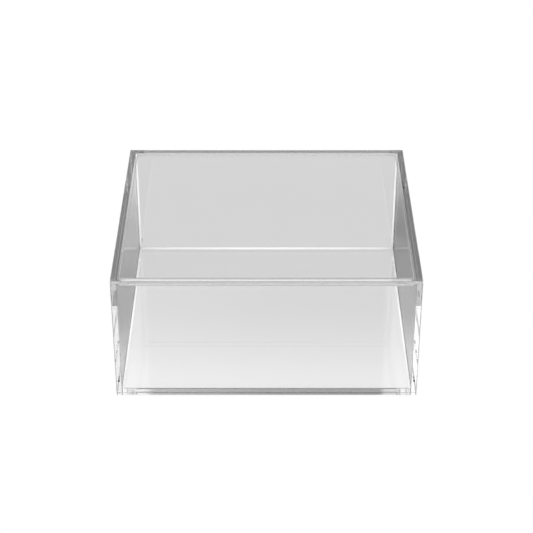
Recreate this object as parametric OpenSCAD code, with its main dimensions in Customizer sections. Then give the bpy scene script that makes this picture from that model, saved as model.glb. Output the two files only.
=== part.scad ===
// Clear acrylic storage box with a lift-off lid.
// Sheet parts: a stepped base, four walls, four corner pins and a stepped lid.
// Frame: origin at the middle of the underside, +Z up, front face towards -Y.

/* [Overall size] */
// Outside width, side to side (mm)
box_w = 200; // [120:1:320]
// Outside depth, front to back (mm)
box_d = 180; // [100:1:300]
// Outside height with the lid on (mm)
box_h = 90; // [60:1:200]

/* [Sheet thicknesses] */
// Thickness of the four walls (mm)
wall_t = 4; // [3:0.5:8]
// Thickness of the base plate that lies under the walls (mm)
base_t = 2; // [1.5:0.5:5]
// Thickness of the floor plate that lies between the walls (mm)
floor_t = 2; // [1.5:0.5:5]
// Thickness of the lid's cover plate (mm)
cover_t = 2; // [1.5:0.5:5]
// Thickness of the lid's locating plate, which drops between the walls (mm)
locator_t = 4; // [2:0.5:8]

/* [Fits] */
// Gap between the locating plate and the walls, all the way round (mm)
locator_gap = 1.4; // [0.4:0.1:3]
// Gap between the cover plate and the top of the walls that carry it (mm)
seat_gap = 0.05; // [0.02:0.01:0.2]
// Glue line between two sheets that are bonded to each other (mm)
glue_line = 0.05; // [0.02:0.01:0.2]
// Broken edge of every sheet, measured along each face (mm)
edge_cut = 0.2; // [0.1:0.05:0.5]

/* [Corner pins] */
// Diameter of a corner pin (mm)
pin_d = 1.2; // [0.8:0.1:2]
// Clearance of a pin in its bore, on the diameter (mm)
pin_clearance = 0.1; // [0.05:0.05:0.3]
// Length of a pin inside the end of a side wall (mm)
pin_bite = 4; // [2:0.5:12]
// Room past the inner end of a pin in its blind bore (mm)
pin_end_room = 0.5; // [0.2:0.1:2]
// Height of the pins' centre above the underside (mm)
pin_z = 11.5; // [8:0.5:40]

/* [Hidden] */
$fn = 48;
// Extra length by which a cutting bore passes a face (mm)
cut_past = 1;
// Space between two walls that face each other
inner_w = box_w - 2 * wall_t;
inner_d = box_d - 2 * wall_t;
// Underside and top of the walls
wall_z0 = base_t + glue_line;
wall_z1 = box_h - cover_t - seat_gap;
wall_h = wall_z1 - wall_z0;
// Centre of the front wall and of the right side wall
front_y = (wall_t - box_d) / 2;
side_x = (box_w - wall_t) / 2;
// Ends of the side walls, a glue line short of the front and back walls
side_len = inner_d - 2 * glue_line;
pin_len = wall_t + glue_line + pin_bite;
bore_d = pin_d + pin_clearance;
bore_len = pin_len + pin_end_room;

// Rectangle a by b about the origin, its four corners cut off
module cut_rect(a, b) {
    polygon([
        [edge_cut - a / 2, -b / 2],
        [a / 2 - edge_cut, -b / 2],
        [a / 2, edge_cut - b / 2],
        [a / 2, b / 2 - edge_cut],
        [a / 2 - edge_cut, b / 2],
        [edge_cut - a / 2, b / 2],
        [-a / 2, b / 2 - edge_cut],
        [-a / 2, edge_cut - b / 2]
    ]);
}

// Sheet of w by d by h about the origin in x and y, standing on z = 0,
// with all twelve edges broken
module sheet(w, d, h) {
    translate([0, 0, h / 2])
        intersection() {
            translate([0, 0, -h / 2])
                linear_extrude(height = h)
                    cut_rect(w, d);
            rotate([90, 0, 0])
                translate([0, 0, -d / 2])
                    linear_extrude(height = d)
                        cut_rect(w, h);
            rotate([90, 0, 90])
                translate([0, 0, -w / 2])
                    linear_extrude(height = w)
                        cut_rect(d, h);
        }
}

// Round bar along y, from the front face or the back face inwards
// (face is -1 for the front, 1 for the back; side is -1 left, 1 right)
module corner_bar(side, face, d, past, len) {
    translate([side * side_x, face * (box_d / 2 + past), pin_z])
        rotate([face * 90, 0, 0])
            cylinder(d = d, h = len + past);
}

// The bores that a wall shares with the pins
module pin_bores() {
    for (side = [-1, 1])
        for (face = [-1, 1])
            corner_bar(side, face, bore_d, cut_past, bore_len);
}

module base_plate() {
    color([0.86, 0.9, 0.92, 0.4])
        sheet(box_w, box_d, base_t);
}

module floor_plate() {
    color([0.86, 0.9, 0.92, 0.4])
        translate([0, 0, base_t + glue_line])
            sheet(inner_w - 2 * glue_line, inner_d - 2 * glue_line, floor_t);
}

// Front wall (face -1) or back wall (face 1), over the full width
module long_wall(face) {
    color([0.8, 0.88, 0.92, 0.4])
        difference() {
            translate([0, -face * front_y, wall_z0])
                sheet(box_w, wall_t, wall_h);
            pin_bores();
        }
}

// Left wall (side -1) or right wall (side 1), between the front and the back
module side_wall(side) {
    color([0.74, 0.86, 0.92, 0.4])
        difference() {
            translate([side * side_x, 0, wall_z0])
                sheet(wall_t, side_len, wall_h);
            pin_bores();
        }
}

module front_wall() {
    long_wall(-1);
}

module back_wall() {
    long_wall(1);
}

module left_wall() {
    side_wall(-1);
}

module right_wall() {
    side_wall(1);
}

// Four pins, flush with the front and back faces, into the side walls' ends
module corner_pins() {
    color([0.35, 0.36, 0.38])
        for (side = [-1, 1])
            for (face = [-1, 1])
                corner_bar(side, face, pin_d, 0, pin_len);
}

module lid_cover() {
    color([0.9, 0.93, 0.95, 0.4])
        translate([0, 0, box_h - cover_t])
            sheet(box_w, box_d, cover_t);
}

module lid_locator() {
    color([0.9, 0.93, 0.95, 0.4])
        translate([0, 0, box_h - cover_t - glue_line - locator_t])
            sheet(inner_w - 2 * locator_gap, inner_d - 2 * locator_gap, locator_t);
}

base_plate();
floor_plate();
front_wall();
back_wall();
left_wall();
right_wall();
corner_pins();
lid_cover();
lid_locator();
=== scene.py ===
# %% [markdown]
# # A clear acrylic box with a lift-off lid
# The box is bonded from flat sheets of clear cast acrylic, and its lid is two sheets bonded
# together: a cover plate and a smaller plate that drops between the walls. Everything that
# the eye sees of it is refraction and reflection, so this lesson spends its effort on the
# plastic, on its cemented joints, on the light around it and on the camera.

# %% Load the frame
import math

import bpy
import numpy as np
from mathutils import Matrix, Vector


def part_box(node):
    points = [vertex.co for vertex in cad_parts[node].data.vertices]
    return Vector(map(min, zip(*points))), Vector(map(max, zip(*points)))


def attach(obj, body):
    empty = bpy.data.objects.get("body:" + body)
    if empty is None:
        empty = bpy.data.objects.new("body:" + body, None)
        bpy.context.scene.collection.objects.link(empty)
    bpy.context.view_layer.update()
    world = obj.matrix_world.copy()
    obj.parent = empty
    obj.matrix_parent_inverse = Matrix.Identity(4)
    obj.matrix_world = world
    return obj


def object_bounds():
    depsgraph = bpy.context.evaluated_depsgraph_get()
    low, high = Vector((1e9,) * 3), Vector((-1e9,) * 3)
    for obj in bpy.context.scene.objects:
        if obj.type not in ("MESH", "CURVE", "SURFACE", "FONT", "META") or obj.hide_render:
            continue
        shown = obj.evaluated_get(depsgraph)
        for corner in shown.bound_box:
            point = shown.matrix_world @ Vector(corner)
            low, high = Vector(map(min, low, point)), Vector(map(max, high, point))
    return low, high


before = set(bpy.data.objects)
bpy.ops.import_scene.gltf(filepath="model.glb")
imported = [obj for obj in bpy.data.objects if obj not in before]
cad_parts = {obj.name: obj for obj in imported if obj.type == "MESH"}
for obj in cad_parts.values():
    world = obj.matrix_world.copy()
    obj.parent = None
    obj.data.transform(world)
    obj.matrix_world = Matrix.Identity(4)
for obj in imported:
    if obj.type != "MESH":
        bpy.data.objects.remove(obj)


def plain(bounds):
    """The two corners of a box as plain lists of numbers, in metres."""
    return [[float(x) for x in corner] for corner in bounds]


cad_bounds = plain(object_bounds())
scene = bpy.context.scene
print("CAD box (m):", cad_bounds)

# %% [markdown]
# ## Where the sheets lie
# Every place that this lesson uses is read from the frame once, here: the outside of the
# box, the faces of the room inside it, and the lid's locating plate.

# %% Places
HALF_WIDTH, HALF_DEPTH = cad_bounds[1][0], cad_bounds[1][1]
WALL_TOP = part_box("left_wall")[1][2]
ROOM_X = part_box("right_wall")[0][0]         # inner faces of the side walls
ROOM_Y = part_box("back_wall")[0][1]          # inner faces of the front and back walls
FLOOR_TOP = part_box("floor_plate")[1][2]
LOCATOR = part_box("lid_locator")[1]          # highest corner of the locating plate
print("room inside (mm):", [round(2000 * v, 1) for v in (ROOM_X, ROOM_Y)])

# %% [markdown]
# ## Colours and nodes
# Colours are written the way a paint program shows them, as hex numbers, and one function
# turns them into the linear light that the renderer works in. Three small functions add a
# shader node, do one sum with a node, and look a value up along a line of stops, so that
# each material below stays short.

# %% Helpers for colours and nodes


def linear(hex_code):
    """An sRGB hex colour as linear RGBA: (c / 12.92) in the darks, a 2.4 power above."""
    c = np.array([int(hex_code[i:i + 2], 16) for i in (0, 2, 4)]) / 255
    rgb = np.where(c <= 0.04045, c / 12.92, ((c + 0.055) / 1.055) ** 2.4)
    return (*rgb.tolist(), 1.0)


def add(tree, kind, links=None, **settings):
    """Adds a node of that kind. Settings name its properties or, with underscores for
    spaces, its input sockets; links gives a source socket for an input."""
    node = tree.nodes.new(kind)
    for key, value in settings.items():
        if hasattr(node, key):
            setattr(node, key, value)
        else:
            node.inputs[key.replace("_", " ")].default_value = value
    for key, source in (links or {}).items():
        tree.links.new(source, node.inputs[key])
    return node


def sum_of(tree, operation, a, b=0.0):
    """A Math node on two inputs, each of them a socket or a number."""
    node = add(tree, "ShaderNodeMath", operation=operation)
    for i, value in enumerate((a, b)):
        if isinstance(value, float):
            node.inputs[i].default_value = value
        else:
            tree.links.new(value, node.inputs[i])
    return node.outputs["Value"]


def curve_of(tree, value, stops):
    """A value looked up in (place, result) stops, with straight lines between them."""
    low, high = stops[0][0], stops[-1][0]
    spot = add(tree, "ShaderNodeMapRange", {"Value": value}, From_Min=low, From_Max=high)
    ramp = add(tree, "ShaderNodeValToRGB", {"Fac": spot.outputs["Result"]})
    elements = ramp.color_ramp.elements
    while len(elements) < len(stops):
        elements.new(1.0)
    for element, (place, result) in zip(elements, stops):
        element.position = (place - low) / (high - low)
        element.color = (result, result, result, 1.0)
    return ramp.outputs["Color"]


def new_material(name):
    """An empty node material with its output node: (material, tree, output)."""
    material = bpy.data.materials.new(name)
    material.use_nodes = True
    tree = material.node_tree
    tree.nodes.clear()
    return material, tree, tree.nodes.new("ShaderNodeOutputMaterial")


def place_of(tree):
    """Object coordinates: the whole vector, then |x|, |y| and z, in metres."""
    place = add(tree, "ShaderNodeTexCoord").outputs["Object"]
    split = add(tree, "ShaderNodeSeparateXYZ", {0: place}).outputs
    return (place, sum_of(tree, "ABSOLUTE", split["X"]),
            sum_of(tree, "ABSOLUTE", split["Y"]), split["Z"])


# %% [markdown]
# ## Clear cast acrylic
# Acrylic sheet is PMMA, cast between glass plates, so its faces are as smooth as glass and
# its index is 1.49. A clear solid needs no colour of its own: the bright and dark bands at
# its edges are light that is trapped in the sheet and led along it. What a real sheet adds
# is a trace of grey over a long path, which the absorption gives, and rub marks that only
# show as a slightly softer gloss in drifting patches a few centimetres wide. The absorption
# also differs from sheet to sheet, and that difference is painted shade: it sets how dark
# each sheet's edges and bands look, darkest on the back wall and then the plates.
#
# A good solvent joint can't be seen: light passes it as if the two sheets were one. The
# frame keeps a hair of air in each joint, so the material lets light through unbent
# wherever a face lies deeper than the skin of the bonded body. Only the upright joints of
# the front wall, whose sawn ends are never perfect, keep a thin streaky haze. The edges of
# the locating plate are bare sawn edges, a little rough. The side walls' inner faces are
# given less mirror where light comes in, the right one more than the left, which is painted
# shade: it darkens the side walls, the right one most.

# %% Acrylic settings
PMMA_IOR = 1.49
PATCH_MM = 35           # width of one rubbed patch
RUB_MM = 1.2            # spacing of the hairlines in it, drawn coarser than real ones
SKIN = 0.00021          # metres: a face deeper than this lies in a joint
HAZE = 0.15             # most haze in an upright joint
STREAK_MM = 0.8         # width of one streak of it
SAWN = 0.25             # roughness of the locating plate's sawn edges
FINE = 0.00002          # metres: less than any gap between two faces

# %% How deep a face lies in its bonded body


def depth_in_box(tree):
    """Distance to the nearest skin of the bonded box: min(outside, room), where outside is
    the way out through the outer faces and room the way into the room inside."""
    _, x, y, z = place_of(tree)
    outside = sum_of(tree, "MINIMUM", sum_of(tree, "SUBTRACT", HALF_WIDTH, x),
                     sum_of(tree, "SUBTRACT", HALF_DEPTH, y))
    ends = sum_of(tree, "MINIMUM", z, sum_of(tree, "SUBTRACT", WALL_TOP, z))
    outside = sum_of(tree, "MINIMUM", outside, ends)
    room = sum_of(tree, "MAXIMUM", sum_of(tree, "SUBTRACT", x, ROOM_X),
                  sum_of(tree, "SUBTRACT", y, ROOM_Y))
    room = sum_of(tree, "MAXIMUM", room, sum_of(tree, "SUBTRACT", FLOOR_TOP, z))
    return sum_of(tree, "MINIMUM", outside, room)


def depth_in_lid(tree):
    """The same for the lid, where only the joint above the locating plate is bonded."""
    _, x, y, z = place_of(tree)
    edge = sum_of(tree, "MINIMUM", sum_of(tree, "SUBTRACT", LOCATOR[0], x),
                  sum_of(tree, "SUBTRACT", LOCATOR[1], y))
    off_joint = sum_of(tree, "ABSOLUTE", sum_of(tree, "SUBTRACT", z, LOCATOR[2]))
    return sum_of(tree, "MINIMUM", edge, sum_of(tree, "SUBTRACT", 2 * SKIN, off_joint))


def clear_joint(tree, haze):
    """What a face in a joint becomes: nothing at all, or a streaky haze where its sheets
    meet upright, at |x| > ROOM_X and |y| = ROOM_Y."""
    place, x, y, _ = place_of(tree)
    nothing = add(tree, "ShaderNodeBsdfTransparent").outputs["BSDF"]
    if not haze:
        return nothing
    off_joint = sum_of(tree, "ABSOLUTE", sum_of(tree, "SUBTRACT", y, ROOM_Y))
    upright = sum_of(tree, "MULTIPLY", sum_of(tree, "GREATER_THAN", x, ROOM_X),
                     sum_of(tree, "LESS_THAN", off_joint, SKIN / 2))
    drawn_out = add(tree, "ShaderNodeMapping", {"Vector": place}, Scale=(1.0, 0.0, 0.04))
    streaks = add(tree, "ShaderNodeTexNoise", {"Vector": drawn_out.outputs["Vector"]},
                  Scale=1000 / STREAK_MM, Detail=2.0)
    share = add(tree, "ShaderNodeMapRange", {"Value": streaks.outputs["Fac"]},
                From_Min=0.3, From_Max=0.7, To_Min=0.0, To_Max=haze)
    share = sum_of(tree, "MULTIPLY", share.outputs["Result"], upright)
    milky = add(tree, "ShaderNodeBsdfDiffuse", Color=linear("F4F4F4")).outputs["BSDF"]
    return add(tree, "ShaderNodeMixShader", {0: share, 1: nothing, 2: milky}).outputs[0]


# %% Worn faces, sawn edges and duller faces


def rubbed(tree, place, most):
    """Roughness of a handled face: most x patches x hairlines, both of them noise."""
    patches = add(tree, "ShaderNodeTexNoise", {"Vector": place},
                  Scale=1000 / PATCH_MM, Detail=2.0)
    worn = add(tree, "ShaderNodeMapRange", {"Value": patches.outputs["Fac"]},
               From_Min=0.5, From_Max=0.75)
    stretch = add(tree, "ShaderNodeMapping", {"Vector": place},
                  Rotation=(0.0, 0.0, math.radians(23)), Scale=(1.0, 0.06, 1.0))
    hairs = add(tree, "ShaderNodeTexNoise", {"Vector": stretch.outputs["Vector"]},
                Scale=1000 / RUB_MM, Detail=1.0)
    both = sum_of(tree, "MULTIPLY", worn.outputs["Result"], hairs.outputs["Fac"])
    return sum_of(tree, "MULTIPLY", both, most)


def sawn_edges(tree):
    """SAWN on the upright edges of the locating plate, and 0 elsewhere."""
    _, x, y, z = place_of(tree)
    edge = sum_of(tree, "MAXIMUM", sum_of(tree, "SUBTRACT", x, LOCATOR[0]),
                  sum_of(tree, "SUBTRACT", y, LOCATOR[1]))
    on_edge = sum_of(tree, "MULTIPLY", sum_of(tree, "GREATER_THAN", edge, -SKIN / 2),
                     sum_of(tree, "LESS_THAN", z, LOCATOR[2] + FINE))
    return sum_of(tree, "MULTIPLY", on_edge, SAWN)


def shaded_by_less_mirror(tree, surface, share):
    """Takes that share of the mirror from the inner faces of the side walls, where light
    comes in: |x| < ROOM_X and the front of the face. This is painted shade: it darkens the
    side walls."""
    _, x, _, _ = place_of(tree)
    inner = sum_of(tree, "LESS_THAN", x, ROOM_X + SKIN / 2)
    leaving = add(tree, "ShaderNodeNewGeometry").outputs["Backfacing"]
    entering = sum_of(tree, "MAXIMUM", sum_of(tree, "SUBTRACT", inner, leaving))
    bare = add(tree, "ShaderNodeBsdfRefraction", IOR=PMMA_IOR, Roughness=0.0,
               Color=linear("FFFFFF")).outputs["BSDF"]
    return add(tree, "ShaderNodeMixShader", {0: sum_of(tree, "MULTIPLY", entering, share),
                                             1: surface, 2: bare}).outputs[0]


# %% Acrylic material


def cast_acrylic(name, absorb, depth_in, rub=0.01, haze=0.0, shade_mirror_cut=0.0, sawn=False):
    """Clear PMMA. The volume takes away light at absorb per metre of path, depth_in says
    which faces lie in a joint, rub is the most roughness that handling left, and
    shade_mirror_cut is the share of its mirror that a side wall's inner face is given less,
    which is painted shade that darkens the wall."""
    material, tree, output = new_material(name)
    rough = rubbed(tree, place_of(tree)[0], rub)
    if sawn:
        rough = sum_of(tree, "MAXIMUM", rough, sawn_edges(tree))
    plastic = add(tree, "ShaderNodeBsdfPrincipled", {"Roughness": rough},
                  IOR=PMMA_IOR, Base_Color=linear("FFFFFF"), Transmission_Weight=1.0)
    surface = plastic.outputs["BSDF"]
    if shade_mirror_cut:
        surface = shaded_by_less_mirror(tree, surface, shade_mirror_cut)
    in_joint = sum_of(tree, "GREATER_THAN", depth_in(tree), SKIN)
    surface = add(tree, "ShaderNodeMixShader",
                  {0: in_joint, 1: surface, 2: clear_joint(tree, haze)}).outputs[0]
    volume = add(tree, "ShaderNodeVolumeAbsorption", Color=linear("000000"),
                 Density=absorb)
    tree.links.new(surface, output.inputs["Surface"])
    tree.links.new(volume.outputs["Volume"], output.inputs["Volume"])
    return material


# Absorption is partly the grey of the plastic and partly painted shade: it differs from sheet
# to sheet only to darken the edges and bands of the back wall and the plates.
plates = cast_acrylic("clear_cast_acrylic_plates", 2.0, depth_in_box)
front = cast_acrylic("clear_cast_acrylic_front", 1.0, depth_in_box, haze=HAZE)
back = cast_acrylic("clear_cast_acrylic_back", 5.0, depth_in_box)
# The left and right walls lose different shares of mirror from their inner faces, which is
# painted shade: it darkens the right wall more than the left.
left = cast_acrylic("clear_cast_acrylic_left", 1.0, depth_in_box, shade_mirror_cut=0.75)
right = cast_acrylic("clear_cast_acrylic_right", 1.0, depth_in_box, shade_mirror_cut=0.95)
cover = cast_acrylic("clear_cast_acrylic_lid", 1.2, depth_in_lid, rub=0.015)
locator = cast_acrylic("clear_cast_acrylic_locator", 1.2, depth_in_lid, rub=0.015,
                       sawn=True)
print("acrylic patches per metre:", round(1000 / PATCH_MM, 1))

# %% [markdown]
# ## Steel pins
# Four thin pins go through the front and back walls into the ends of the side walls. They
# are bright drawn wire, so their shanks are hard to see in the plastic. The last millimetre
# or so of each cut end is painted nearly black, a painted shade for the dark recess that
# the end sits in, and it is what shows: a dark dot at each corner.

# %% Steel material
SHADED_END_MM = 1.2         # how far the painted shade at each end reaches down the shank


def cut_wire_steel(name):
    """Bright wire, with its ends painted nearly black as painted shade at |y| > HALF_DEPTH -
    SHADED_END_MM; noise moves its tone and its roughness a little."""
    material, tree, output = new_material(name)
    place, _, y, _ = place_of(tree)
    grain = add(tree, "ShaderNodeTexNoise", {"Vector": place}, Scale=4000.0, Detail=3.0)
    # painted shade: the last stretch of each end is made nearly black
    shaded_end = sum_of(tree, "GREATER_THAN", y, HALF_DEPTH - SHADED_END_MM / 1000)
    bright = add(tree, "ShaderNodeMix", {"Factor": grain.outputs["Fac"]}, data_type="RGBA")
    bright.inputs[6].default_value = linear("DADBDD")
    bright.inputs[7].default_value = linear("F2F2F3")
    tone = add(tree, "ShaderNodeMix", {"Factor": shaded_end, 6: bright.outputs[2]},
               data_type="RGBA")
    tone.inputs[7].default_value = linear("141415")
    rough = add(tree, "ShaderNodeMapRange", {"Value": grain.outputs["Fac"]},
                To_Min=0.25, To_Max=0.5)
    steel = add(tree, "ShaderNodeBsdfPrincipled",
                {"Base Color": tone.outputs[2], "Roughness": rough.outputs["Result"]},
                Metallic=1.0)
    tree.links.new(steel.outputs["BSDF"], output.inputs["Surface"])
    return material


pin_steel = cut_wire_steel("cut_steel_wire")

# %% Dress the CAD pieces
FINISH = {
    "base_plate": plates,
    "floor_plate": plates,
    "front_wall": front,
    "back_wall": back,
    "left_wall": left,
    "right_wall": right,
    "corner_pins": pin_steel,
    "lid_cover": cover,
    "lid_locator": locator,
}
for name, material in FINISH.items():
    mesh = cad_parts[name].data
    mesh.materials.clear()
    mesh.materials.append(material)
print("dressed", len(FINISH), "CAD pieces")

# %% [markdown]
# ## Cement beads
# What is pressed out of a joint dries as a thin bead in the inner corner, with a hollow
# face and a milky look. It catches light from every side, and so it draws the bright lines
# along the inside corners of the box. Each bead is a profile of two legs and a quarter
# circle, swept along its corner.

# %% Cement material
BEAD_LEG = 0.0013       # metres, from the corner along each sheet
BEAD_ARC = 6            # steps along the hollow face
RIM_ROOM = 0.0005       # the upright beads end this far under the walls' top edges


def dried_cement(name):
    """Milky solvent cement: mostly white, with clearer spots that noise makes uneven."""
    material, tree, output = new_material(name)
    place = add(tree, "ShaderNodeTexCoord").outputs["Object"]
    cloud = add(tree, "ShaderNodeTexNoise", {"Vector": place}, Scale=180.0, Detail=2.0)
    clear = add(tree, "ShaderNodeMapRange", {"Value": cloud.outputs["Fac"]},
                To_Min=0.0, To_Max=0.08)
    rough = add(tree, "ShaderNodeMapRange", {"Value": cloud.outputs["Fac"]},
                To_Min=0.15, To_Max=0.35)
    cement = add(tree, "ShaderNodeBsdfPrincipled",
                 {"Roughness": rough.outputs["Result"],
                  "Transmission Weight": clear.outputs["Result"]},
                 IOR=PMMA_IOR, Base_Color=linear("FDFDFD"))
    tree.links.new(cement.outputs["BSDF"], output.inputs["Surface"])
    return material


# %% One bead


def bead(start, end, leg_a, leg_b):
    """Points and faces of one bead from start to end along a corner. leg_a and leg_b are
    the directions of its two sheets. The hollow face is p(t) = leg (1 - sin t) leg_a +
    leg (1 - cos t) leg_b for t from 0 to a quarter turn, with leg = BEAD_LEG."""
    start, end, leg_a, leg_b = (np.asarray(v, float) for v in (start, end, leg_a, leg_b))
    t = np.linspace(0.0, math.pi / 2, BEAD_ARC + 1)[:, None]
    hollow = BEAD_LEG * ((1 - np.sin(t)) * leg_a + (1 - np.cos(t)) * leg_b)
    ring = np.vstack([np.zeros(3), hollow]) + FINE * (leg_a + leg_b)
    along = (end - start) / np.linalg.norm(end - start)
    points = np.vstack([ring + start + FINE * along, ring + end - FINE * along])
    n = len(ring)
    k = np.arange(n)
    sides = np.stack([k, (k + 1) % n, (k + 1) % n + n, k + n], axis=1).tolist()
    faces = sides + [k[::-1].tolist(), (k + n).tolist()]
    if np.dot(np.cross(leg_a, leg_b), end - start) < 0:
        faces = [face[::-1] for face in faces]
    return points, faces


# %% Beads along the inner corners
rightward, backward, upward = np.eye(3)
runs = [((-ROOM_X, ROOM_Y, FLOOR_TOP), (ROOM_X, ROOM_Y, FLOOR_TOP), -backward, upward)]
for side in (-1, 1):
    corner = (side * ROOM_X, ROOM_Y, FLOOR_TOP)
    runs.append(((side * ROOM_X, -ROOM_Y, FLOOR_TOP), corner, -side * rightward, upward))
    runs.append((corner, (side * ROOM_X, ROOM_Y, WALL_TOP - RIM_ROOM), -side * rightward,
                 -backward))

points, faces = [], []
for run in runs:
    more_points, more_faces = bead(*run)
    faces += [[i + len(points) for i in face] for face in more_faces]
    points += more_points.tolist()
mesh = bpy.data.meshes.new("cement_beads")
mesh.from_pydata(points, [], faces)
mesh.polygons.foreach_set("use_smooth", [len(face) == 4 for face in faces])
beads = bpy.data.objects.new("cement_beads", mesh)
scene.collection.objects.link(beads)
mesh.materials.append(dried_cement("milky_solvent_cement"))
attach(beads, "box")
print("cement beads:", len(runs), "runs,", len(faces), "faces")

# %% [markdown]
# ## Floor and light
# The box stands on a white floor in a white studio. As in most photographs of clear
# things, what the plastic shows is arranged apart from what the camera sees. The plastic
# shows a floor with light and shade painted on it: a painted pool of light that is
# brightest in front, a painted shadow along each side of the box and a painted shadow
# under each side wall and under the back wall, which draw the walls and their edges. Light
# that is led through the sheets leaves them at the back, so there the room has a bright
# panel on each side, above a low edge. The camera itself sees a plain white floor, and matt
# things such as the beads are lit by a plain white studio.

# %% Floor mesh
FLOOR_HALF = 3.0        # metres from the middle to the floor's edge
FLOOR_Z = -0.0002       # a hair under the base plate


def flat_grid(name, half, z, steps):
    """A square mesh: x and y run over an even grid from -half to half at height z."""
    line = np.linspace(-half, half, steps + 1)
    x, y = np.meshgrid(line, line, indexing="ij")
    points = np.stack([x.ravel(), y.ravel(), np.full(x.size, z)], axis=1)
    first = (np.arange(steps)[:, None] * (steps + 1) + np.arange(steps)[None, :]).ravel()
    faces = np.stack([first, first + steps + 1, first + steps + 2, first + 1], axis=1)
    mesh = bpy.data.meshes.new(name)
    mesh.from_pydata(points.tolist(), [], faces.tolist())
    piece = bpy.data.objects.new(name, mesh)
    scene.collection.objects.link(piece)
    return piece


# %% What the plastic shows of the floor
# Stops are (metres, brightness). y runs along the depth, and x is |x|, less the taper.
# Painted light and shade: a pool of light that is brightest in front and in a line under the
# front wall, and painted shadows beside the box, under the side walls, behind them and under
# the back wall.
LIGHT_POOL = ((-0.30, 0.78), (-0.13, 0.89), (-0.0902, 0.89), (-0.0900, 1.15), (-0.0860, 1.15),
        (-0.0858, 0.87), (-0.065, 0.85), (-0.04, 0.78), (-0.01, 0.72), (0.015, 0.69),
        (0.30, 0.69))
# painted shadow beside each side of the box, fading out behind it
SIDE_SHADOW = ((HALF_WIDTH, 0.0), (HALF_WIDTH + 0.0005, 1.0), (0.16, 1.0), (0.20, 0.0))
TAPER = 0.11            # the side shadows' inner edges drift apart by this behind TAPER_FROM
TAPER_FROM = 0.125
LEFT_REACH = ((-0.091, 0.0), (-0.090, 0.25), (-0.05, 0.55), (0.0, 0.97), (0.03, 1.0),
              (0.06, 0.88), (0.10, 0.68), (0.125, 0.72), (0.16, 0.5), (0.20, 0.1),
              (0.24, 0.0))
RIGHT_REACH = ((-0.091, 0.0), (-0.090, 0.1), (-0.04, 0.4), (0.01, 0.8), (0.10, 0.8),
               (0.12, 1.0), (0.16, 0.85), (0.20, 0.34), (0.24, 0.0))
# painted shadow under each side wall
WALL_SHADOW = ((ROOM_X - 0.0005, 0.0), (ROOM_X, 1.0), (HALF_WIDTH, 1.0),
         (HALF_WIDTH + 0.0005, 0.0))
WALL_SHADOW_REACH = ((-0.055, 0.0), (-0.045, 1.0), (HALF_DEPTH, 1.0),
               (HALF_DEPTH + 0.0005, 0.0))
WALL_SHADOW_DARK = (0.83, 0.63)       # left and right
CORNER_REACH = ((HALF_DEPTH, 0.0), (HALF_DEPTH + 0.0005, 1.0), (0.11, 1.0), (0.111, 0.0))
CORNER_DARK = (0.5, 0.15)       # painted shadow behind the wall shadows, left and right
# painted shadow under the back wall
BACK_WALL_SHADOW = ((0.0876, 0.0), (0.0878, 0.6), (0.0900, 0.6), (0.0901, 0.0))
CAMERA_GLOW = 0.85      # how much of the floor that the camera sees is its own glow
PLASTIC_GLOW = 0.95     # and how much of the floor that the plastic shows
STUDIO = 1.2            # light on matt things: the plastic around them takes some away


def floor_in_plastic(tree):
    """Brightness of the floor as the plastic shows it, with light and shade painted on it:
    light_pool(y) (1 - side_shadow(x) reach(y)) (1 - dark) with dark = max(wall_shadow(x)
    wall_shadow_reach(y) wall_shadow_dark, wall_shadow(x) corner_reach(y) corner_dark,
    back_wall_shadow(y))."""
    place = add(tree, "ShaderNodeTexCoord").outputs["Object"]
    split = add(tree, "ShaderNodeSeparateXYZ", {0: place}).outputs
    y = split["Y"]
    side = sum_of(tree, "ABSOLUTE", split["X"])
    on_right = sum_of(tree, "GREATER_THAN", split["X"], 0.0)
    reach = add(tree, "ShaderNodeMix", {"Factor": on_right,
                                        2: curve_of(tree, y, LEFT_REACH),
                                        3: curve_of(tree, y, RIGHT_REACH)})
    behind = sum_of(tree, "MAXIMUM", sum_of(tree, "SUBTRACT", y, TAPER_FROM))
    inward = sum_of(tree, "SUBTRACT", side, sum_of(tree, "MULTIPLY", behind, TAPER))
    side_shadow = sum_of(tree, "MULTIPLY", curve_of(tree, inward, SIDE_SHADOW), reach.outputs[0])
    dark = curve_of(tree, y, BACK_WALL_SHADOW)
    for reach_there, (on_left, at_right) in ((WALL_SHADOW_REACH, WALL_SHADOW_DARK),
                                             (CORNER_REACH, CORNER_DARK)):
        deep = add(tree, "ShaderNodeMapRange", {"Value": on_right}, To_Min=on_left,
                   To_Max=at_right).outputs["Result"]
        shadow_band = sum_of(tree, "MULTIPLY", curve_of(tree, side, WALL_SHADOW),
                       curve_of(tree, y, reach_there))
        dark = sum_of(tree, "MAXIMUM", dark, sum_of(tree, "MULTIPLY", shadow_band, deep))
    lit = sum_of(tree, "MULTIPLY", curve_of(tree, y, LIGHT_POOL),
                 sum_of(tree, "SUBTRACT", 1.0, side_shadow))
    return sum_of(tree, "MULTIPLY", lit, sum_of(tree, "SUBTRACT", 1.0, dark))


# %% Floor material


def by_ray(tree, in_plastic):
    """Strength of a white thing for each kind of ray: 1 to the camera, STUDIO to matt
    faces, and in_plastic to light that the plastic has bent or mirrored. Also says which
    of the first and last kind the ray is, as 0 or 1."""
    path = add(tree, "ShaderNodeLightPath").outputs
    camera = path["Is Camera Ray"]
    bent = sum_of(tree, "MAXIMUM", path["Is Glossy Ray"], path["Is Transmission Ray"])
    from_matt = sum_of(tree, "GREATER_THAN", path["Diffuse Depth"], 0.5)
    plain_white = sum_of(tree, "MAXIMUM", camera, sum_of(tree, "MULTIPLY", from_matt, STUDIO))
    strength = sum_of(tree, "MAXIMUM", sum_of(tree, "MULTIPLY", bent, in_plastic),
                      plain_white)
    return strength, camera, bent


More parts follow.
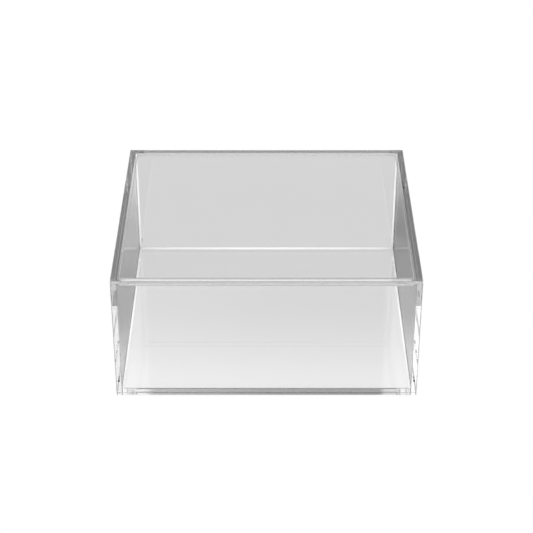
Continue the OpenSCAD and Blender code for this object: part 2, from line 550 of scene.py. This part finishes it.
def white_floor(name):
    """Matt white that mostly glows, as by_ray says."""
    material, tree, output = new_material(name)
    strength, camera, bent = by_ray(tree, floor_in_plastic(tree))
    share = sum_of(tree, "MAXIMUM", sum_of(tree, "MULTIPLY", camera, CAMERA_GLOW),
                   sum_of(tree, "MULTIPLY", bent, PLASTIC_GLOW))
    matt = add(tree, "ShaderNodeBsdfDiffuse", Color=linear("F4F4F4")).outputs["BSDF"]
    glow = add(tree, "ShaderNodeEmission", {"Strength": strength}, Color=linear("FFFFFF"))
    mix = add(tree, "ShaderNodeMixShader", {0: share, 1: matt, 2: glow.outputs[0]})
    tree.links.new(mix.outputs[0], output.inputs["Surface"])
    return material


floor = flat_grid("studio_floor", FLOOR_HALF, FLOOR_Z, 8)
floor.data.materials.append(white_floor("white_studio_floor"))

# %% Studio light around the box
ROOM = 0.55             # brightness of the room, as the plastic shows it, to mid height
PLAIN = ((0.10, 0.85), (0.40, ROOM), (0.70, ROOM), (1.0, 0.35))
PANEL_TOP = 0.70        # sine of the height at which panels end and the ceiling begins
PANEL_FOOT = [math.sin(math.radians(angle)) for angle in (32.45, 32.58)]
# Stops are (x / y of the direction, brightness), above the panels' foot and below it.
PANELS = ((-0.50, ROOM), (-0.30, 1.40), (-0.095, 1.40), (-0.092, 0.78), (-0.05, 0.68),
          (0.0, 0.55), (0.05, 0.50), (0.090, 0.49), (0.094, 1.10), (0.30, 1.10),
          (0.50, ROOM))
BELOW = ((0.093, ROOM), (0.097, 0.05), (0.30, 0.05), (0.50, ROOM))

world = bpy.data.worlds.new("white_studio")
scene.world = world
world.use_nodes = True
sky = world.node_tree
sky.nodes.clear()
direction = add(sky, "ShaderNodeTexCoord").outputs["Generated"]
split = add(sky, "ShaderNodeSeparateXYZ", {0: direction}).outputs
height = split["Z"]
across = sum_of(sky, "DIVIDE", split["X"], sum_of(sky, "ABSOLUTE", split["Y"]))
above_foot = add(sky, "ShaderNodeMapRange", {"Value": height}, From_Min=PANEL_FOOT[0],
                 From_Max=PANEL_FOOT[1]).outputs["Result"]
back_wall = add(sky, "ShaderNodeMix", {"Factor": above_foot,
                                       2: curve_of(sky, across, BELOW),
                                       3: curve_of(sky, across, PANELS)}).outputs[0]
plain_room = curve_of(sky, height, PLAIN)
at_back = sum_of(sky, "MULTIPLY", sum_of(sky, "GREATER_THAN", split["Y"], 0.0),
                 sum_of(sky, "MULTIPLY", sum_of(sky, "GREATER_THAN", height, 0.4),
                        sum_of(sky, "LESS_THAN", height, PANEL_TOP)))
room = add(sky, "ShaderNodeMix", {"Factor": at_back, 2: plain_room, 3: back_wall})
strength, _, _ = by_ray(sky, room.outputs[0])
glow = add(sky, "ShaderNodeBackground", {"Strength": strength}, Color=linear("FFFFFF"))
out = add(sky, "ShaderNodeOutputWorld", {"Surface": glow.outputs["Background"]})
scene.view_settings.view_transform = "Standard"

# Light that is trapped in a sheet is turned back dozens of times before it leaves, so the
# renderer follows each ray further than it does by default. It also keeps the plastic sharp
# for light that comes from a matt face, so that the beads are lit as they should be.
LIGHT_PATH = 48
for limit in ("max_bounces", "transmission_bounces", "glossy_bounces",
              "transparent_max_bounces"):
    setattr(scene.cycles, limit, LIGHT_PATH)
scene.cycles.blur_glossy = 0.0

# %% [markdown]
# ## Camera
# The camera looks down on the front of the box, square to it, through a long lens.

# %% Camera
FOCAL_PX = 1563.6       # focal length in pixels of the 533 pixel frame
FRAME_PX = 533
SENSOR_MM = 36.0
PITCH = math.radians(31.915)
EDGE_PX = 313.86        # the lid's front edge spans this many pixels
EDGE_DROP_PX = 14.87    # and lies this far under the middle of the frame

low, high = (Vector(c) for c in cad_bounds)
edge = Vector((0.0, low.y, high.z))
ahead = Vector((0.0, math.cos(PITCH), -math.sin(PITCH)))
up = Vector((0.0, math.sin(PITCH), math.cos(PITCH)))
distance = FOCAL_PX / EDGE_PX * (high.x - low.x)
lens = bpy.data.cameras.new("camera")
lens.sensor_width = SENSOR_MM
lens.lens = SENSOR_MM * FOCAL_PX / FRAME_PX
lens.clip_start = 0.01
camera = bpy.data.objects.new("camera", lens)
scene.collection.objects.link(camera)
camera.location = edge - ahead * distance + up * (EDGE_DROP_PX / FOCAL_PX * distance)
camera.rotation_euler = ahead.to_track_quat("-Z", "Y").to_euler()
scene.camera = camera
print("camera at", [round(c, 4) for c in camera.location], "lens", round(lens.lens, 2))
